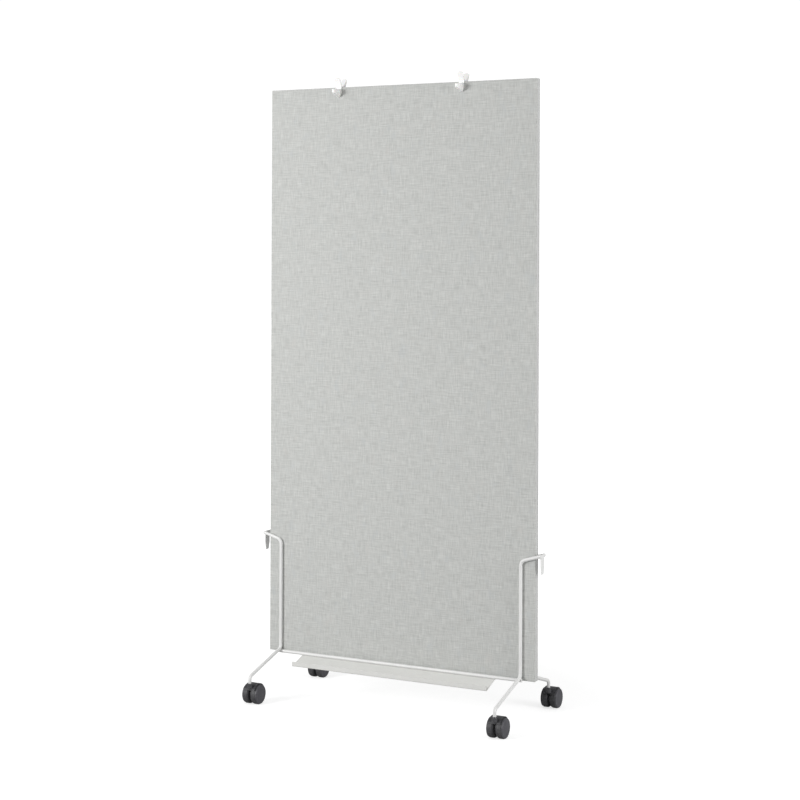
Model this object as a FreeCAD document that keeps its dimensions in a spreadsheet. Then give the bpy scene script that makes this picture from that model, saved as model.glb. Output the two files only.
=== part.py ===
import FreeCAD, Part
import math
import os
import Sketcher

# Mobile two-sided display partition, in millimetres.
# X runs along the panel, Y from front to back, Z up; the floor is Z = 0.
# The origin is on the floor, below the middle of the whole object.

doc = FreeCAD.newDocument("mobile_partition")
Vector = FreeCAD.Vector

SIZES = [
    # panel
    ("panel_width", 908, "width of the covered panel"),
    ("panel_height", 1760, "height of the covered panel"),
    ("frame_depth", 8, "depth of the tube frame between the boards"),
    ("frame_recess", 0.8, "frame edge set back behind the fabric edge"),
    ("tube_width", 30, "width of the frame tube"),
    ("tube_wall", 1.5, "wall of the frame tube"),
    ("key_leg", 60, "leg length of a corner key"),
    ("key_clearance", 0.2, "corner key to tube wall"),
    ("core_clearance", 0.5, "core to frame"),
    ("board_thickness", 6, "pin board on each side"),
    ("fabric_thickness", 1, "cover fabric"),
    ("cover_edge_radius", 1.8, "rounded edge of the cover"),
    # wire base
    ("wire_diameter", 10, "round wire of the base"),
    ("wire_gap", 0.5, "wire to fabric"),
    ("wire_inset", 44, "upright wire axis inboard of the panel's side edge"),
    ("wire_rise", 350, "panel bottom to the upper corner of the wire"),
    ("wire_slope", 16.5, "slope of the wire's top run, degrees"),
    ("wire_overhang", 19, "wire end beyond the panel's side edge"),
    ("upper_bend", 18, "bend radius at the top corner"),
    ("leg_drop", 11.5, "leg corner above the panel bottom"),
    ("leg_slope", 17, "slope of the leg, degrees"),
    ("leg_bend", 14, "bend radius between upright and leg"),
    ("stem_bend", 14, "bend radius between leg and stem"),
    ("stem_length", 19.43, "foot of the wire to the corner between leg and stem"),
    ("stem_spread", 195, "caster stem axis from the panel's mid-plane"),
    ("cross_forward", 1, "cross wire in front of the upright wire"),
    ("weld_depth", 0.35, "cross wire melted into the upright wire"),
    ("tab_thickness", 3, "side tab plate"),
    ("tab_bite", 0.6, "side tab melted into the wires"),
    ("tab_length", 59, "side tab from its top edge to its tip"),
    ("tab_above_wire", 3.5, "side tab top above the wire's end"),
    ("tab_tip_width", 13, "side tab width at its tip"),
    ("tab_taper", 22, "length of the side tab's taper"),
    # tray
    ("tray_length", 660, "tray along the panel"),
    ("sheet_thickness", 1.5, "tray sheet"),
    ("tray_back", 22, "tray flange behind the mid-plane"),
    ("tray_break", 20, "tray fold in front of the mid-plane"),
    ("tray_front", 79, "inside of the tray lip in front of the mid-plane"),
    ("tray_slope", 20.5, "slope of the tray pan, degrees"),
    ("lip_height", 14, "tray lip above the pan"),
    ("tray_bend", 1.5, "inside radius of the tray's folds"),
    ("screw_pitch", 250, "spacing of the panel screws"),
    ("screw_shank", 4, "panel screw diameter"),
    ("screw_clearance", 0.25, "screw to clearance hole, each side"),
    ("screw_reach", 8, "panel screw beyond the bottom rail's edge"),
    ("screw_head", 8, "panel screw head diameter"),
    ("screw_head_height", 3, "panel screw head height"),
    ("pad_diameter", 18, "rest pad under the panel"),
    # top hooks
    ("hook_offset", 210, "hook centre from the panel's middle"),
    ("hook_width", 18, "hook plate width"),
    ("hook_plate", 2.6, "hook plate thickness"),
    ("hook_clearance", 0.3, "hook to fabric"),
    ("hook_drop", 30, "hook plate below the panel's top edge"),
    ("hook_point", 6, "flat tip of the hook plate's pointed end"),
    ("hook_point_height", 12, "height of the hook plate's pointed end"),
    ("prong_height", 28.5, "prong tip above the panel's top edge"),
    ("prong_reach", 25, "prong tip from the mid-plane"),
    ("prong_foot", 9, "prong foot from the mid-plane"),
    ("prong_round", 7.5, "corner radius of a prong tip"),
    ("horn_width", 9, "width of the lower horn"),
    ("horn_reach", 39, "horn nose in front of the panel face"),
    ("horn_nose_top", 8.5, "top of the horn nose below the panel's top edge"),
    ("horn_nose_height", 10, "height of the horn nose"),
    ("horn_root_top", 4, "top of the horn root below the panel's top edge"),
    ("horn_round", 3.5, "corner radius of the horn"),
    # casters
    ("wheel_radius", 30, "outside radius of a tyre"),
    ("caster_trail", 24, "axle behind the stem axis"),
    ("caster_width", 50, "outside width across both wheels"),
    ("tyre_gap", 5, "gap between the two tyres"),
    ("tyre_depth", 9, "radial depth of a tyre"),
    ("inner_shoulder", 8, "shoulder radius of a tyre, beside the other wheel"),
    ("outer_shoulder", 2, "shoulder radius of a tyre, beside the disc"),
    ("rim_thickness", 2.5, "rim under the tyre"),
    ("rim_set_in", 0.5, "rim's inner end behind the tyre's"),
    ("disc_thickness", 7, "outer disc of a wheel"),
    ("disc_set_down", 1.5, "edge of the outer disc below the tread"),
    ("flange_thickness", 3, "outer disc beside the tyre"),
    ("disc_round", 1.5, "edge radius of the wheel's outer face"),
    ("hub_radius", 8, "wheel hub radius"),
    ("axle_diameter", 6, "axle"),
    ("axle_cover", 3, "wheel material outside the axle's end"),
    ("axle_end_play", 0.5, "axle end to the bottom of the wheel's bore"),
    ("running_clearance", 0.05, "pin or axle to bore, radial"),
    ("web_thickness", 4, "housing web between the wheels"),
    ("web_radius", 20, "housing web around the axle"),
    ("web_play", 0.5, "web to wheel hub"),
    ("hood_width", 38, "housing hood over the wheels"),
    ("hood_thickness", 1.6, "housing hood wall"),
    ("hood_clearance", 1.5, "hood to tyre"),
    ("hood_start", 35, "rear end of the hood above level, degrees"),
    ("hood_span", 115, "angle that the hood covers, degrees"),
    ("boss_radius", 9, "stem boss of the housing"),
    ("boss_above", 1.6, "stem boss above the hood"),
    ("boss_depth", 14, "stem boss height"),
    ("pin_diameter", 6, "pivot pin"),
    ("pin_seat", 10, "pivot pin inside the housing"),
    ("pin_insert", 12, "pivot pin inside the wire"),
    ("pin_end_play", 0.5, "pivot pin tip to the bottom of its socket"),
    ("collar_height", 1.5, "pivot pin collar"),
    ("collar_gap", 0.3, "collar to boss"),
]

dims = doc.addObject("Spreadsheet::Sheet", "dims")
for row, (alias, size, meaning) in enumerate(SIZES, start=1):
    dims.set(f"A{row}", meaning)
    dims.set(f"B{row}", str(size))
    dims.setAlias(f"B{row}", alias)

# Lengths that follow from the driving sizes, kept as bound properties of one object.
FOLLOWING = [
    ("mid", "(boss_radius - caster_trail - wheel_radius) / 2"),
    ("half_thick", "frame_depth / 2 + board_thickness + fabric_thickness"),
    ("wire_y", "half_thick + wire_gap + wire_diameter / 2"),
    ("hood_radius", "wheel_radius + hood_clearance + hood_thickness"),
    ("boss_top", "wheel_radius + hood_radius + boss_above"),
    ("foot_z", "boss_top + collar_gap + collar_height"),
    # The stem and the leg set how high the base holds the panel.
    ("stem_corner_z", "foot_z + stem_length"),
    ("leg_corner_z", "stem_corner_z + (stem_spread - wire_y) * tan(leg_slope)"),
    ("panel_bottom", "leg_corner_z - leg_drop"),
    ("panel_top", "panel_bottom + panel_height"),
    ("frame_half", "panel_width / 2 - frame_recess"),
    ("frame_low", "panel_bottom + frame_recess"),
    ("frame_high", "panel_top - frame_recess"),
    ("wire_x", "panel_width / 2 - wire_inset"),
    ("wire_end_x", "panel_width / 2 + wire_overhang"),
    ("wire_corner_z", "panel_bottom + wire_rise"),
    ("wire_end_z", "wire_corner_z + (wire_inset + wire_overhang) * tan(wire_slope)"),
    ("tyre_inner", "wheel_radius - tyre_depth"),
    ("disc_radius", "wheel_radius - disc_set_down"),
    # The cross wires lie against the lower bends of the uprights, so the bend sets their height.
    ("cross_y", "wire_y + cross_forward"),
    ("bend_centre_z", "leg_corner_z + leg_bend * tan((90 - leg_slope) / 2)"),
    ("bend_touch", "leg_bend + wire_diameter - weld_depth"),
    ("cross_z", "bend_centre_z - sqrt(bend_touch ^ 2 - (leg_bend - cross_forward) ^ 2)"),
    ("flange_top", "cross_z - wire_diameter / 2"),
]

ALIASES = {alias for alias, size, meaning in SIZES}
NAMES = {name for name, text in FOLLOWING}


def formula(text):
    """Point each word of a formula at the sheet or at the layout object."""
    words = []
    for word in text.replace("(", " ( ").replace(")", " ) ").split():
        sign = "-" if word.startswith("-") and len(word) > 1 else ""
        bare = word[len(sign):]
        if bare in ALIASES:
            bare = "dims." + bare
        elif bare in NAMES:
            bare = "layout." + bare
        words.append(sign + bare)
    return " ".join(words).replace("tan (", "tan(").replace("cos (", "cos(").replace("sqrt (", "sqrt(")


layout = doc.addObject("App::FeaturePython", "layout")
for name, text in FOLLOWING:
    layout.addProperty("App::PropertyFloat", name)
for name, text in FOLLOWING:
    layout.setExpression(name, formula(text))
doc.recompute()

sub_parts = []


def sub_part(piece, label):
    """Name a finished piece and put it on the list of exported sub-parts."""
    piece.Label = label
    sub_parts.append(piece)
    return piece


def place(piece, x="0", y="0", z="0"):
    """Bind a piece's position."""
    for axis, text in (("x", x), ("y", y), ("z", z)):
        piece.setExpression("Placement.Base." + axis, formula(text))


# --- building blocks -------------------------------------------------------------------------


def block(name, x, y, z, length, width, height):
    """A box from its lowest corner and its three sizes."""
    box = doc.addObject("Part::Box", name)
    for key, text in (("Length", length), ("Width", width), ("Height", height)):
        box.setExpression(key, formula(text))
    place(box, x, y, z)
    return box


def rod(name, radius, height, x, y, z, axis="Z"):
    """A straight cylinder that starts at a point and runs along Z or X."""
    cylinder = doc.addObject("Part::Cylinder", name)
    cylinder.setExpression("Radius", formula(radius))
    cylinder.setExpression("Height", formula(height))
    if axis == "X":
        cylinder.Placement = FreeCAD.Placement(Vector(), FreeCAD.Rotation(Vector(0, 1, 0), 90))
    place(cylinder, x, y, z)
    return cylinder


def joined(name, shapes):
    """Several shapes as one object; shapes that don't touch stay separate solids."""
    fuse = doc.addObject("Part::MultiFuse", name)
    fuse.Shapes = shapes
    return fuse


def cut(name, base, tool):
    """A base shape less a tool shape."""
    result = doc.addObject("Part::Cut", name)
    result.Base = base
    result.Tool = tool
    return result


def outline(body, name, plane, points):
    """A closed polygon sketch on one of the body's own planes, each corner bound to the sheet."""
    sketch = body.newObject("Sketcher::SketchObject", name)
    support = [item for item in body.Origin.OriginFeatures if item.Role == plane]
    sketch.AttachmentSupport = [(support[0], "")]
    sketch.MapMode = "FlatFace"
    count = len(points)
    seeds = []
    for index in range(count):
        turn = 2 * math.pi * index / count
        seeds.append(Vector(10 * math.cos(turn), 10 * math.sin(turn), 0))
    for index in range(count):
        sketch.addGeometry(Part.LineSegment(seeds[index], seeds[(index + 1) % count]), False)
    for index in range(count):
        following = (index + 1) % count
        sketch.addConstraint(Sketcher.Constraint("Coincident", index, 2, following, 1))
    for index, (across, up) in enumerate(points):
        for kind, seed, text in (("DistanceX", seeds[index].x, across), ("DistanceY", seeds[index].y, up)):
            number = sketch.addConstraint(Sketcher.Constraint(kind, -1, 1, index, 1, seed))
            sketch.setExpression(f"Constraints[{number}]", formula(text))
    return sketch


def rectangle(x_low, x_high, y_low, y_high):
    """The four corners of a rectangle, in order."""
    return [(x_low, y_low), (x_high, y_low), (x_high, y_high), (x_low, y_high)]


def pad(body, name, plane, points, length, midplane=True):
    """A padded polygon; on the middle of its plane unless told otherwise."""
    feature = body.newObject("PartDesign::Pad", name)
    feature.Profile = outline(body, name + "_sketch", plane, points)
    feature.setExpression("Length", formula(length))
    feature.Midplane = midplane
    return feature


def pocket(body, name, plane, points, length, midplane=True, backwards=False):
    """A pocketed polygon, which has to take material away."""
    doc.recompute()
    before = body.Shape.Volume
    feature = body.newObject("PartDesign::Pocket", name)
    feature.Profile = outline(body, name + "_sketch", plane, points)
    feature.setExpression("Length", formula(length))
    feature.Midplane = midplane
    feature.Reversed = backwards
    doc.recompute()
    if feature.Shape.Volume >= before:
        raise RuntimeError(name + " cuts nothing")
    return feature


def turned(body, name, points):
    """A polygon turned about X; its corners are (place along the axis, radius)."""
    feature = body.newObject("PartDesign::Revolution", name)
    profile = outline(body, name + "_sketch", "XZ_Plane", points)
    feature.Profile = profile
    feature.ReferenceAxis = (profile, ["H_Axis"])
    feature.Angle = 360
    return feature


def rounded(body, name, base, radius, wanted):
    """Round the edges of a feature for which wanted(edge) is true."""
    doc.recompute()
    edges = [f"Edge{index}" for index, edge in enumerate(base.Shape.Edges, start=1) if wanted(edge)]
    if not edges:
        raise RuntimeError(name + " finds no edge")
    feature = body.newObject("PartDesign::Fillet", name)
    feature.Base = (base, edges)
    feature.setExpression("Radius", formula(radius))
    return feature


def runs_along(edge, axis):
    """True for a straight edge along one axis."""
    box = edge.BoundBox
    lengths = {"x": box.XLength, "y": box.YLength, "z": box.ZLength}
    long_way = lengths.pop(axis)
    return long_way > 0.5 and max(lengths.values()) < 0.01


def bent_rod(points, radii, diameter):
    """A round rod along straight runs joined by tangent arcs, one radius for each inner corner."""
    edges = []
    start = points[0]
    for corner, ahead, radius in zip(points[1:-1], points[2:], radii):
        incoming = (corner - start).normalize()
        outgoing = (ahead - corner).normalize()
        turn = incoming.getAngle(outgoing)
        reach = radius * math.tan(turn / 2)
        first = corner - incoming * reach
        last = corner + outgoing * reach
        inward = (outgoing - incoming).normalize()
        middle = corner + inward * (radius / math.cos(turn / 2) - radius)
        edges.append(Part.LineSegment(start, first).toShape())
        edges.append(Part.Arc(first, middle, last).toShape())
        start = last
    edges.append(Part.LineSegment(start, points[-1]).toShape())
    path = Part.Wire(edges)
    heading = (points[1] - points[0]).normalize()
    circle = Part.Wire([Part.makeCircle(diameter / 2, points[0], heading)])
    shape = path.makePipeShell([circle], True, True)
    expected = math.pi * (diameter / 2) ** 2 * path.Length
    if abs(shape.Volume - expected) > 0.005 * expected:
        raise RuntimeError("a bent rod doesn't have its section times its length")
    return shape


SIDES = (("left", -1), ("right", 1))
FACES = (("front", -1), ("rear", 1))


# --- panel: tube frame, corner keys and core -------------------------------------------------
# Four rectangular tubes are mitred at the corners and held by an L-shaped key in each corner.


def frame_tube(label, corners, cavity_plane, cavity):
    body = doc.addObject("PartDesign::Body", label)
    pad(body, label + "_pad", "XZ_Plane", corners, "frame_depth")
    pocket(body, label + "_cavity", cavity_plane, cavity, "4 * panel_height")
    place(body, y="mid")
    return sub_part(body, label)


cavity_y = ("-1 * frame_depth / 2 + tube_wall", "frame_depth / 2 - tube_wall")
for side, sign in SIDES:
    outer = f"{sign} * frame_half"
    inner = f"{sign} * ( frame_half - tube_width )"
    near = f"{sign} * ( frame_half - tube_wall )"
    far = f"{sign} * ( frame_half - tube_width + tube_wall )"
    frame_tube(
        side + "_stile",
        [(outer, "frame_low"), (inner, "frame_low + tube_width"),
         (inner, "frame_high - tube_width"), (outer, "frame_high")],
        "XY_Plane",
        rectangle(near, far, *cavity_y),
    )
for edge_name, start, way in (("bottom", "frame_low", 1), ("top", "frame_high", -1)):
    rail = frame_tube(
        edge_name + "_rail",
        [("-1 * frame_half", start), ("frame_half", start),
         ("frame_half - tube_width", f"{start} + {way} * tube_width"),
         ("-1 * frame_half + tube_width", f"{start} + {way} * tube_width")],
        "YZ_Plane",
        rectangle(*cavity_y, f"{start} + {way} * tube_wall", f"{start} + {way} * ( tube_width - tube_wall )"),
    )
    if edge_name == "bottom":
        # Threaded holes for the panel screws, through the tube's lower wall.
        thread_circles = rail.newObject("Sketcher::SketchObject", "thread_sketch")
        floor_plane = [item for item in rail.Origin.OriginFeatures if item.Role == "XY_Plane"]
        thread_circles.AttachmentSupport = [(floor_plane[0], "")]
        thread_circles.MapMode = "FlatFace"
        for count in (-1, 0, 1):
            number = thread_circles.addGeometry(Part.Circle(Vector(20 * count, 0, 0), Vector(0, 0, 1), 2), False)
            size = thread_circles.addConstraint(Sketcher.Constraint("Diameter", number, 4))
            thread_circles.setExpression(f"Constraints[{size}]", formula("screw_shank"))
            across = thread_circles.addConstraint(Sketcher.Constraint("DistanceX", -1, 1, number, 3, 20.0 * count))
            thread_circles.setExpression(f"Constraints[{across}]", formula(f"{count} * screw_pitch"))
            thread_circles.addConstraint(Sketcher.Constraint("DistanceY", -1, 1, number, 3, 0.0))
        threads = rail.newObject("PartDesign::Pocket", "threads")
        threads.Profile = thread_circles
        threads.Reversed = True
        threads.setExpression("Length", formula("frame_low + tube_wall + 1"))

key_parts = []
for side, sign in SIDES:
    for level, start, way in (("low", "frame_low", 1), ("high", "frame_high", -1)):
        gap = "( tube_wall + key_clearance )"
        bar = f"( tube_width - 2 * {gap} )"
        x_far = f"-1 * frame_half + {gap}" if sign < 0 else f"frame_half - {gap}"
        z_far = f"{start} + {way} * {gap}"
        key_y = f"mid - frame_depth / 2 + {gap}"
        key_depth = f"frame_depth - 2 * {gap}"
        leg_x = x_far if sign < 0 else f"{x_far} - key_leg"
        leg_z = z_far if way > 0 else f"{z_far} - {bar}"
        key_parts.append(block(f"key_{side}_{level}_flat", leg_x, key_y, leg_z, "key_leg", key_depth, bar))
        leg_x = x_far if sign < 0 else f"{x_far} - {bar}"
        leg_z = z_far if way > 0 else f"{z_far} - key_leg"
        key_parts.append(block(f"key_{side}_{level}_up", leg_x, key_y, leg_z, bar, key_depth, "key_leg"))
sub_part(joined("corner_keys_fuse", key_parts), "corner_keys")

sub_part(
    block("core_block", "-1 * frame_half + tube_width + core_clearance", "mid - frame_depth / 2",
          "frame_low + tube_width + core_clearance",
          "2 * ( frame_half - tube_width - core_clearance )", "frame_depth",
          "panel_height - 2 * ( frame_recess + tube_width + core_clearance )"),
    "honeycomb_core",
)

# --- panel: pin boards and fabric covers -----------------------------------------------------
# Each cover is a fabric skin over its board, turned round the board's edges as far as the frame.

for face, way in FACES:
    board_y = "mid + frame_depth / 2" if way > 0 else "mid - frame_depth / 2 - board_thickness"
    sub_part(
        block(face + "_board_block", "-1 * panel_width / 2 + fabric_thickness", board_y,
              "panel_bottom + fabric_thickness", "panel_width - 2 * fabric_thickness", "board_thickness",
              "panel_height - 2 * fabric_thickness"),
        face + "_board",
    )
    cover = doc.addObject("PartDesign::Body", face + "_fabric")
    skin = pad(cover, face + "_skin", "XZ_Plane",
               rectangle("-1 * panel_width / 2", "panel_width / 2", "panel_bottom", "panel_top"),
               "board_thickness + fabric_thickness", midplane=False)
    doc.recompute()
    outside = skin.Shape.BoundBox.YMin
    rounded(cover, face + "_cover_edge", skin, "cover_edge_radius",
            lambda edge: runs_along(edge, "y") or edge.BoundBox.YMax < outside + 0.01)
    pocket(cover, face + "_board_space", "XZ_Plane",
           rectangle("-1 * panel_width / 2 + fabric_thickness", "panel_width / 2 - fabric_thickness",
                     "panel_bottom + fabric_thickness", "panel_top - fabric_thickness"),
           "board_thickness", midplane=False, backwards=True)
    if way > 0:
        cover.Placement = FreeCAD.Placement(Vector(), FreeCAD.Rotation(Vector(0, 0, 1), 180))
    place(cover, y=f"mid + {way} * frame_depth / 2")
    sub_part(cover, face + "_fabric")

# --- wire base -------------------------------------------------------------------------------
# Each side has a front and a rear wire. A wire rises in front of the panel, leans out past the
# panel's side edge at the top, and at the bottom turns out into the leg and down to the caster.

for face, way in FACES:
    for side, sign in SIDES:
        x_upright = sign * layout.wire_x
        y_upright = layout.mid + way * layout.wire_y
        y_stem = layout.mid + way * dims.stem_spread
        route = [
            Vector(x_upright, y_stem, layout.foot_z),
            Vector(x_upright, y_stem, layout.stem_corner_z),
            Vector(x_upright, y_upright, layout.leg_corner_z),
            Vector(x_upright, y_upright, layout.wire_corner_z),
            Vector(sign * layout.wire_end_x, y_upright, layout.wire_end_z),
        ]
        shape = bent_rod(route, [dims.stem_bend, dims.leg_bend, dims.upper_bend], dims.wire_diameter)
        bore = Part.makeCylinder(dims.pin_diameter / 2, dims.pin_insert, route[0])
        wire = doc.addObject("Part::Feature", f"{face}_{side}_wire")
        wire.Shape = shape.cut(bore)
        sub_part(wire, f"{face}_{side}_wire")

# A straight cross wire lies against the lower bends on each face.
for face, way in FACES:
    bar = rod(face + "_cross_rod", "wire_diameter / 2", "2 * wire_x + wire_diameter",
              "-1 * wire_x - wire_diameter / 2", f"mid + {way} * cross_y", "cross_z", "X")
    sub_part(bar, face + "_cross_wire")

# A flat tab closes each pair of wire ends and hangs down beside the panel's edge.
for side, sign in SIDES:
    tab = doc.addObject("PartDesign::Body", side + "_side_tab")
    half = "( wire_y - wire_diameter / 2 + tab_bite )"
    tip = "( tab_tip_width / 2 )"
    plate = pad(tab, side + "_tab_pad", "YZ_Plane",
                [(f"-1 * {half}", "tab_length"), (f"-1 * {half}", "tab_taper"), (f"-1 * {tip}", "0"),
                 (tip, "0"), (half, "tab_taper"), (half, "tab_length")], "tab_thickness")
    rounded(tab, side + "_tab_tip", plate, "tab_tip_width / 3",
            lambda edge: runs_along(edge, "x") and edge.BoundBox.ZMax < 1)
    place(tab, f"{sign} * ( wire_end_x - tab_thickness / 2 )", "mid",
          "wire_end_z + tab_above_wire - tab_length")
    sub_part(tab, side + "_side_tab")

# --- tray ------------------------------------------------------------------------------------
# One folded sheet: a flat flange under both cross wires carries the panel, and a sloping pan
# with an upturned lip reaches out in front. Sketch heights are from the flange's top face.

tray = doc.addObject("PartDesign::Body", "tray")
pan_end = "( tray_front - tray_break ) * tan(tray_slope)"
pan_under = "sheet_thickness / cos(tray_slope)"
tray_blank = pad(tray, "tray_pad", "YZ_Plane",
    [("tray_back", "0"), ("-1 * tray_break", "0"), ("-1 * tray_front", f"-1 * {pan_end}"),
     ("-1 * tray_front", f"lip_height - {pan_end}"),
     ("-1 * tray_front - sheet_thickness", f"lip_height - {pan_end}"),
     ("-1 * tray_front - sheet_thickness",
      f"-1 * {pan_end} - sheet_thickness * tan(tray_slope) - {pan_under}"),
     ("-1 * tray_break + sheet_thickness * tan(tray_slope / 2)", "-1 * sheet_thickness"),
     ("tray_back", "-1 * sheet_thickness")],
    "tray_length")
pan_drop = (dims.tray_front - dims.tray_break) * math.tan(math.radians(dims.tray_slope))
fold_shift = dims.sheet_thickness * math.tan(math.radians(dims.tray_slope / 2))
under_drop = dims.sheet_thickness * (math.tan(math.radians(dims.tray_slope))
                                     + 1 / math.cos(math.radians(dims.tray_slope)))


def lies_at(edge, y, z):
    """True for an edge along X through a point of the tray's outline."""
    middle = edge.BoundBox.Center
    return runs_along(edge, "x") and abs(middle.y - y) < 0.01 and abs(middle.z - z) < 0.01


inner_folds = rounded(tray, "inner_folds", tray_blank, "tray_bend",
                      lambda edge: lies_at(edge, -dims.tray_front, -pan_drop)
                      or lies_at(edge, fold_shift - dims.tray_break, -dims.sheet_thickness))
rounded(tray, "outer_folds", inner_folds, "tray_bend + sheet_thickness",
        lambda edge: lies_at(edge, -dims.tray_front - dims.sheet_thickness, -pan_drop - under_drop)
        or lies_at(edge, -dims.tray_break, 0))
tray_holes = tray.newObject("Sketcher::SketchObject", "tray_holes_sketch")
tray_plane = [item for item in tray.Origin.OriginFeatures if item.Role == "XY_Plane"]
tray_holes.AttachmentSupport = [(tray_plane[0], "")]
tray_holes.MapMode = "FlatFace"
for count in (-1, 0, 1):
    number = tray_holes.addGeometry(Part.Circle(Vector(20 * count, 0, 0), Vector(0, 0, 1), 2), False)
    size = tray_holes.addConstraint(Sketcher.Constraint("Diameter", number, 4))
    tray_holes.setExpression(f"Constraints[{size}]", formula("screw_shank + 2 * screw_clearance"))
    across = tray_holes.addConstraint(Sketcher.Constraint("DistanceX", -1, 1, number, 3, 20.0 * count))
    tray_holes.setExpression(f"Constraints[{across}]", formula(f"{count} * screw_pitch"))
    tray_holes.addConstraint(Sketcher.Constraint("DistanceY", -1, 1, number, 3, 0.0))
tray_cut = tray.newObject("PartDesign::Pocket", "tray_holes")
tray_cut.Profile = tray_holes
tray_cut.setExpression("Length", formula("4 * sheet_thickness"))
tray_cut.Midplane = True
place(tray, y="mid", z="flange_top")
sub_part(tray, "tray")

# Rubber pads on the flange carry the panel's lower edge, each with a screw up through it.
pad_blanks = []
pad_bores = []
screw_pieces = []
if layout.panel_bottom <= layout.flange_top:
    raise RuntimeError("the panel has no room above the tray flange")
for count in (-1, 0, 1):
    spot = (f"{count} * screw_pitch", "mid")
    pad_blanks.append(rod(f"pad_{count + 2}", "pad_diameter / 2", "panel_bottom - flange_top",
                          *spot, "flange_top"))
    pad_bores.append(rod(f"pad_bore_{count + 2}", "screw_shank / 2 + screw_clearance", "panel_bottom",
                         *spot, "0"))
    screw_pieces.append(rod(f"shank_{count + 2}", "screw_shank / 2",
                            "frame_low + screw_reach - flange_top + sheet_thickness",
                            *spot, "flange_top - sheet_thickness"))
    screw_pieces.append(rod(f"head_{count + 2}", "screw_head / 2", "screw_head_height",
                            *spot, "flange_top - sheet_thickness - screw_head_height"))
sub_part(cut("rest_pads_cut", joined("pad_blanks", pad_blanks), joined("pad_bores", pad_bores)), "rest_pads")
sub_part(joined("panel_screws_fuse", screw_pieces), "panel_screws")

# --- top hooks -------------------------------------------------------------------------------
# A moulded hook sits astride the top edge. Two prongs lean up and out, and on each side a
# pointed plate lies on the fabric with a horn standing out from it.
# Sketch heights are from the panel's top edge, and widths from its mid-plane.

plate_in = "( half_thick + hook_clearance )"
plate_out = "( half_thick + hook_clearance + hook_plate )"
bridge_low = "hook_clearance"
bridge_high = "( hook_clearance + hook_plate )"
prong_lean = "( prong_reach - hook_plate )"


def both_ways(points):
    """A half outline for the front, and its mirror for the rear."""
    front = [(f"-1 * {across}", up) for across, up in points]
    rear = [(across, up) for across, up in reversed(points)]
    return front + rear


for side, sign in SIDES:
    hook = doc.addObject("PartDesign::Body", side + "_top_hook")
    saddle = pad(hook, side + "_saddle", "YZ_Plane",
                 both_ways([(plate_in, bridge_low), (plate_in, "-1 * hook_drop"),
                            (plate_out, "-1 * hook_drop"), (plate_out, bridge_high),
                            ("prong_reach", "prong_height - 1"), (prong_lean, "prong_height"),
                            ("prong_foot", bridge_high)]),
                 "hook_width")
    tips = rounded(hook, side + "_prong_tips", saddle, "prong_round",
                   lambda edge: edge.BoundBox.ZMin > dims.prong_height - 2
                   and edge.BoundBox.XLength < 0.01 and edge.BoundBox.YLength > 1)
    for flank, lean in SIDES:
        edge_x = f"{lean} * hook_width / 2"
        point_x = f"{lean} * hook_point / 2"
        pocket(hook, f"{side}_{flank}_point", "XZ_Plane",
               [(edge_x, "-1 * hook_drop - 1"), (point_x, "-1 * hook_drop - 1"), (point_x, "-1 * hook_drop"),
                (edge_x, "-1 * hook_drop + hook_point_height")],
               f"4 * {plate_out}")
    for face, way in FACES:
        root = f"{way} * ( {plate_out} - hook_plate / 2 )"
        nose = f"{way} * ( half_thick + horn_reach )"
        horn = pad(hook, f"{side}_{face}_horn", "YZ_Plane",
                   [(root, "-1 * hook_drop"), (f"{way} * {plate_out}", "-1 * hook_drop"),
                    (nose, "-1 * horn_nose_top - horn_nose_height"), (nose, "-1 * horn_nose_top"),
                    (f"{way} * {plate_out}", "-1 * horn_root_top"), (root, "-1 * horn_root_top")],
                   "horn_width")
    doc.recompute()
    reach = layout.half_thick + dims.horn_reach
    rounded(hook, side + "_horn_round", horn, "horn_round",
            lambda edge: min(abs(edge.BoundBox.YMin - reach), abs(edge.BoundBox.YMax + reach)) < 0.01
            and edge.BoundBox.ZLength > 1)
    place(hook, f"{sign} * hook_offset", "mid", "panel_top")
    sub_part(hook, side + "_top_hook")

# --- casters ---------------------------------------------------------------------------------
# A twin-wheel caster hangs on a steel pin pressed into the foot of each wire. The axle trails
# behind the stem. Each wheel is a nylon disc with its own tyre.



def is_ring(edge, x, radius):
    """True for a circle about the X axis at one place along it and with one radius."""
    box = edge.BoundBox
    return box.XLength < 0.01 and abs(box.XMin - x) < 0.01 and abs(box.YLength - 2 * radius) < 0.1


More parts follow.
